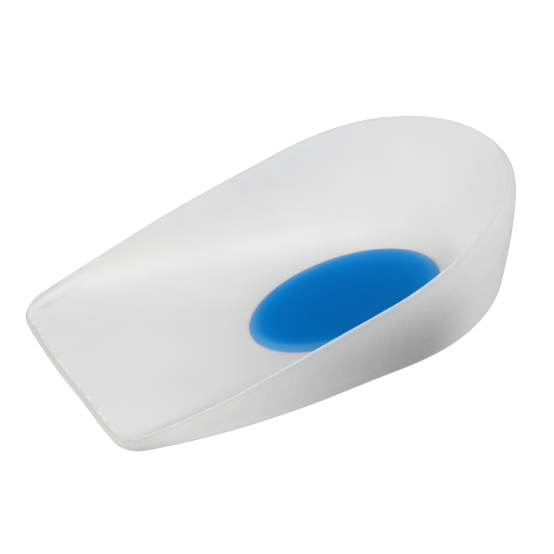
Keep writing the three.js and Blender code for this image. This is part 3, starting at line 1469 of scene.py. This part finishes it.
@dataclass(frozen=True)
class MilkySilicone:
    """Milky, see-into silicone with a satin face, a little coarser on the outside of the cup.

    The outside is darker towards the front with painted shade, and paler along its foot with painted
    light that stands for light coming up through the thin edge. Places and heights are in millimetres.

    Attributes:
        face: how the mould left it.
        pale: its colour in the clouds.
        dense: its colour between them.
        inside_grain: depth of the inside's grain as a share of the outside's.
        speckle: share of the light that the grain takes on the outside.
        speckle_low: grain at which the speckle begins.
        speckle_high: grain at which it is full.
        scatter_depth: how far light spreads inside it, in metres.
        cut_start: place along the insole up to which the painted shade towards the front is full.
        cut_end: place at which it is gone.
        cut_depth: share of the light that it takes.
        line_depth: share of the light that the painted shade of the dark lines takes.
        foot_start: place along the insole at which the painted light along the foot begins.
        foot_full: place from which it is brightest.
        foot_height: height at which it is gone.
        foot_depth: share of the painted light's tone at the sole.
        foot_tone: colour of the painted light along the foot and of the painted highlights of the
            lines.
        show_through: painted shade of the spot on it, and the spot seen through it.
    """

    face: MouldedFace = MouldedFace(
        roughness=0.42,
        gloss_spread=0.12,
        cloud_scale=55.0,
        grain_scale=1500.0,
        grain_depth=0.000035,
        specular=0.12,
    )
    pale: Colour = (0.868, 0.862, 0.857)
    dense: Colour = (0.838, 0.833, 0.829)
    inside_grain: float = 0.35
    speckle: float = 0.025
    speckle_low: float = 0.35
    speckle_high: float = 0.65
    scatter_depth: float = 0.0008
    cut_start: float = -49.0
    cut_end: float = -40.0
    cut_depth: float = 0.15
    line_depth: float = 0.14
    foot_start: float = -46.0
    foot_full: float = -30.0
    foot_height: float = 4.0
    foot_depth: float = 0.9
    foot_tone: Colour = (0.985, 0.98, 0.975)
    show_through: SpotShadeAndShowThrough = SpotShadeAndShowThrough()

    def material(self, surface: bpy.types.NodeTree) -> bpy.types.Material:
        """Builds the finish.

        Args:
            surface: the node group of the moulded surface.

        Returns:
            The material.
        """
        finish = Finish(Slot.MILKY, surface, self.face)
        seen = self.show_through
        x, y, z = (part / METRES_PER_MM for part in finish.graph.parts(finish.place))
        outside, line = finish.mark(Mark.OUTSIDE), finish.mark(Mark.LINE)
        # painted shade of the lines: in the seam, along the crest, on the nicks, in the ditch and
        # beside the bead
        dark = (0.0 - line).at_least(0.0).at_most(1.0)
        # painted light along the foot of the outside, brightest at the sole
        low = 1.0 - z.ramp(0.0, self.foot_height)
        foot = low * y.ramp(self.foot_start, self.foot_full) * self.foot_depth
        # painted shade over the front of the outside, full at the front edge and gone further back
        cut = (1.0 - y.ramp(self.cut_start, self.cut_end)) * self.cut_depth
        grain = finish.out("Grain")
        speckle = grain.ramp(self.speckle_low, self.speckle_high) * self.speckle
        # painted shade of the spot beside it on the wall and round it on the floor, painted shade
        # towards the front, and the grain's speckle
        grey = (seen.beside(x, y, z) + cut + speckle) * outside + seen.around(x, y) * (1.0 - outside)
        layers = (
            # painted light along the foot, and the painted highlights of the nicks and the bead
            ((foot * outside).at_least(line).at_most(1.0), self.foot_tone),
            (seen.under(x, y, z) * outside, seen.sole_tone),
            # painted blue shade on the crest beside the spot, laid over its painted dark lines
            (seen.on_rim(x, y) * dark, seen.rim_tone),
            # painted shade of the dark lines added to the rest
            (grey + dark * self.line_depth, seen.tone),
        )
        colour = finish.mix(finish.out("Cloud"), self.dense, self.pale)
        for share, tone in layers:
            colour = finish.mix(share, colour, tone)
        depth = outside * (1.0 - self.inside_grain) + self.inside_grain
        finish.emboss(grain * depth, self.face.grain_depth)
        finish.dress(
            {
                "Base Color": colour,
                "Subsurface Weight": 1.0,
                "Subsurface Scale": self.scatter_depth,
                "Subsurface Radius": (1.0, 1.0, 1.0),
            }
        )
        return finish.material


@dataclass(frozen=True)
class EdgeTone:
    """Colour of the spot at a distance from its edge, in millimetres and display levels."""

    inset: float
    red: int
    green: int
    blue: int

    @property
    def lit(self) -> Colour:
        """The colour in linear light, by the standard curve of displays."""
        red, green, blue = (
            level / 12.92 if level <= 0.04045 else ((level + 0.055) / 1.055) ** 2.4
            for level in (self.red / 255, self.green / 255, self.blue / 255)
        )
        return red, green, blue


SPOT_TONES = (
    EdgeTone(inset=0.0, red=150, green=190, blue=220),
    EdgeTone(inset=0.3, red=96, green=160, blue=212),
    EdgeTone(inset=1.0, red=68, green=152, blue=213),
    EdgeTone(inset=1.5, red=48, green=147, blue=215),
    EdgeTone(inset=2.0, red=18, green=135, blue=213),
    EdgeTone(inset=2.6, red=4, green=125, blue=206),
    EdgeTone(inset=4.0, red=0, green=115, blue=196),
    EdgeTone(inset=9.0, red=0, green=109, blue=190),
)


@dataclass(frozen=True)
class BlueSilicone:
    """Blue silicone, paler towards its edge.

    Attributes:
        face: how the mould left it.
        tone_reach: distance from the edge at the end of its scale of tones, in millimetres.
        clouding: share of the deepest tone in the clouds.
    """

    face: MouldedFace = MouldedFace(
        roughness=0.45,
        gloss_spread=0.1,
        cloud_scale=120.0,
        grain_scale=1800.0,
        grain_depth=0.00002,
        specular=0.02,
    )
    tone_reach: float = 10.0
    clouding: float = 0.06

    def material(self, surface: bpy.types.NodeTree) -> bpy.types.Material:
        """Builds the finish.

        Args:
            surface: the node group of the moulded surface.

        Returns:
            The material.
        """
        finish = Finish(Slot.BLUE, surface, self.face)
        ramp = finish.graph.add("ShaderNodeValToRGB")
        finish.graph.feed(ramp.inputs[0], finish.mark(Mark.EDGE) / self.tone_reach)
        stops = ramp.color_ramp.elements
        while len(stops) < len(SPOT_TONES):
            stops.new(1.0)
        for stop, tone in zip(stops, SPOT_TONES):
            stop.position = tone.inset / self.tone_reach
            stop.color = (*tone.lit, 1.0)
        share = finish.out("Cloud") * self.clouding
        finish.dress({"Base Color": finish.mix(share, ramp.outputs[0], SPOT_TONES[-1].lit)})
        finish.emboss(finish.out("Grain"), self.face.grain_depth)
        return finish.material


def direction(azimuth: float, elevation: float) -> Vector:
    """Unit vector from the insole towards a place round it.

    Args:
        azimuth: degrees round from the front, towards +X.
        elevation: degrees above the floor.

    Returns:
        The direction.
    """
    turn, rise = math.radians(azimuth), math.radians(elevation)
    flat = Vector((math.sin(turn), -math.cos(turn), 0.0)) * math.cos(rise)
    return flat + Vector((0.0, 0.0, math.sin(rise)))


@dataclass(frozen=True)
class Softbox:
    """A square soft light that faces the insole, in degrees and metres.

    Attributes:
        name: the light's name.
        azimuth: place round from the front, towards +X.
        elevation: height above the floor.
        watts: strength.
        tint: colour.
        distance: distance from the origin.
        side: length of its side.
    """

    name: str
    azimuth: float
    elevation: float
    watts: float
    tint: Colour
    distance: float = 1.0
    side: float = 0.6

    def build(self) -> None:
        """Makes the light."""
        light = bpy.data.lights.new(self.name, "AREA")
        light.shape = "SQUARE"
        light.size = self.side
        light.energy = self.watts
        light.color = self.tint
        lamp = put_in_scene(self.name, light)
        back = direction(self.azimuth, self.elevation)
        lamp.location = back * self.distance
        lamp.rotation_euler = (-back).to_track_quat("-Z", "Y").to_euler()
        lamp.visible_camera = False


@dataclass(frozen=True)
class ViewCamera:
    """The camera: it looks at a point above the sole, which falls on a given place of the picture.

    Attributes:
        azimuth: place round from the front, towards +X, in degrees.
        elevation: height above the floor, in degrees.
        roll: turn about its own axis, in degrees.
        distance: distance from the point that it looks at, in metres.
        aim_height: height of that point.
        pixels_per_metre: scale of the picture at that point.
        frame_pixels: width of the picture.
        aim_right: how far right of the picture's middle the point falls, in pixels.
        aim_down: how far below the middle it falls.
    """

    azimuth: float = 63.45
    elevation: float = 38.16
    roll: float = 0.60
    distance: float = 0.9
    aim_height: float = 0.010
    pixels_per_metre: float = 4661.0
    frame_pixels: float = 554.0
    aim_right: float = 9.88
    aim_down: float = 1.08

    def build(self) -> None:
        """Makes the camera and gives it to the scene."""
        data = bpy.data.cameras.new("view")
        data.lens = data.sensor_width * self.pixels_per_metre * self.distance / self.frame_pixels
        data.shift_x = -self.aim_right / self.frame_pixels
        data.shift_y = self.aim_down / self.frame_pixels
        camera = put_in_scene("view", data)
        back = direction(self.azimuth, self.elevation)
        aim = Vector((0.0, 0.0, self.aim_height))
        facing = (-back).to_track_quat("-Z", "Y").to_matrix()
        turned = facing @ Matrix.Rotation(-math.radians(self.roll), 3, "Z")
        camera.matrix_world = Matrix.Translation(aim + back * self.distance) @ turned.to_4x4()
        bpy.context.scene.camera = camera


@dataclass
class Studio:
    """Plain pale floor, soft lights and the camera.

    Attributes:
        floor_half: half of the floor's width, in metres.
        floor_level: its height, in metres.
        floor_tone: its colour to the eye.
        floor_lift: light that it adds to the eye.
        floor_glow: light that it gives the insole.
        glow_tint: colour of that light.
        white: colour of the added light and of the backdrop.
        lights: the soft lights.
        camera: the camera.
    """

    floor_half: float = 3.0
    floor_level: float = -0.0002
    floor_tone: Colour = (0.9, 0.9, 0.9)
    floor_lift: float = 0.6
    floor_glow: float = 0.518
    glow_tint: Colour = (0.956, 0.964, 1.0)
    white: Colour = (1.0, 1.0, 1.0)
    lights: tuple[Softbox, ...] = (
        Softbox("front_low", azimuth=0.0, elevation=15.0, watts=5.82, tint=(1.0, 0.97, 0.917)),
        Softbox("left_top", azimuth=270.0, elevation=70.0, watts=4.15, tint=(0.93, 0.955, 1.0)),
        Softbox("right_high", azimuth=120.0, elevation=45.0, watts=3.09, tint=(1.0, 0.96, 0.905)),
        Softbox("heel_low", azimuth=150.0, elevation=15.0, watts=2.13, tint=(0.975, 1.0, 1.0)),
        Softbox("near_low", azimuth=63.0, elevation=15.0, watts=1.89, tint=(0.99, 1.0, 0.985)),
        Softbox("near_high", azimuth=90.0, elevation=45.0, watts=1.54, tint=(0.853, 0.912, 1.0)),
    )
    camera: ViewCamera = ViewCamera()

    def floor_material(self) -> bpy.types.Material:
        """White to the eye, and the even glow of a light table on the insole.

        Returns:
            The material.
        """
        material = bpy.data.materials.new("pale_floor")
        material.use_nodes = True
        graph = Graph(material.node_tree)
        nodes = graph.tree.nodes
        nodes.remove(nodes["Principled BSDF"])
        seen = graph.call("ShaderNodeBsdfDiffuse", {"Color": self.floor_tone})
        lift = graph.call("ShaderNodeEmission", {"Color": self.white, "Strength": self.floor_lift})
        lit = graph.call("ShaderNodeAddShader", {0: seen, 1: lift})
        glow = {"Color": self.glow_tint, "Strength": self.floor_glow}
        bounce = graph.call("ShaderNodeEmission", glow)
        eye = graph.call("ShaderNodeLightPath", {}, "Is Camera Ray")
        above = graph.call("ShaderNodeMixShader", {0: eye, 1: bounce, 2: lit})
        under = graph.call("ShaderNodeNewGeometry", {}, "Backfacing")
        clear = graph.call("ShaderNodeBsdfTransparent", {})
        both = graph.call("ShaderNodeMixShader", {0: under, 1: above, 2: clear})
        graph.feed(nodes["Material Output"].inputs["Surface"], both)
        return material

    def build_floor(self) -> None:
        half, level = self.floor_half, self.floor_level
        mesh = bpy.data.meshes.new("floor")
        signs = ((-1, -1), (1, -1), (1, 1), (-1, 1))
        mesh.from_pydata([(x * half, y * half, level) for x, y in signs], [], [range(len(signs))])
        mesh.materials.append(self.floor_material())
        floor = put_in_scene("floor", mesh)

    def build_backdrop(self) -> None:
        """Makes a backdrop that is white to the eye and gives the insole no light."""
        world = bpy.data.worlds.new("sky")
        world.use_nodes = True
        graph = Graph(world.node_tree)
        backdrop = graph.tree.nodes["Background"].inputs
        graph.feed(backdrop["Color"], self.white)
        graph.feed(backdrop["Strength"], graph.call("ShaderNodeLightPath", {}, "Is Camera Ray"))
        bpy.context.scene.world = world

    def build(self) -> None:
        """Makes the floor, the backdrop, the lights and the camera."""
        self.build_floor()
        self.build_backdrop()
        for light in self.lights:
            light.build()
        self.camera.build()
        bpy.context.scene.view_settings.view_transform = "Standard"


def attach(piece: bpy.types.Object, node: Node) -> None:
    """Hands a piece to the frame and reports it.

    Args:
        piece: the finished piece.
        node: the CAD node that it stands for.
    """
    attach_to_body(piece, BODY)
    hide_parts(node.value)
    spans = ", ".join(f"{span / METRES_PER_MM:.1f}" for span in piece.dimensions)
    log.info("%s: %d faces, %s mm", piece.name, len(piece.data.polygons), spans)


def main() -> None:
    """Builds the studio, the cup and the spot, in that order."""
    logging.basicConfig(level=logging.INFO, format="%(message)s")
    Studio().build()
    rule = FloorRule()
    oval = SpotOval()
    floor = rule.group()
    surface = MouldedSurface().group()
    cup = HeelCup(rule, oval).build(MilkySilicone().material(surface), floor)
    attach(cup, Node.CUP)
    spot = SoftSpot(oval).build(BlueSilicone().material(surface), floor)
    attach(spot, Node.SPOT)


if __name__ == "__main__":
    main()
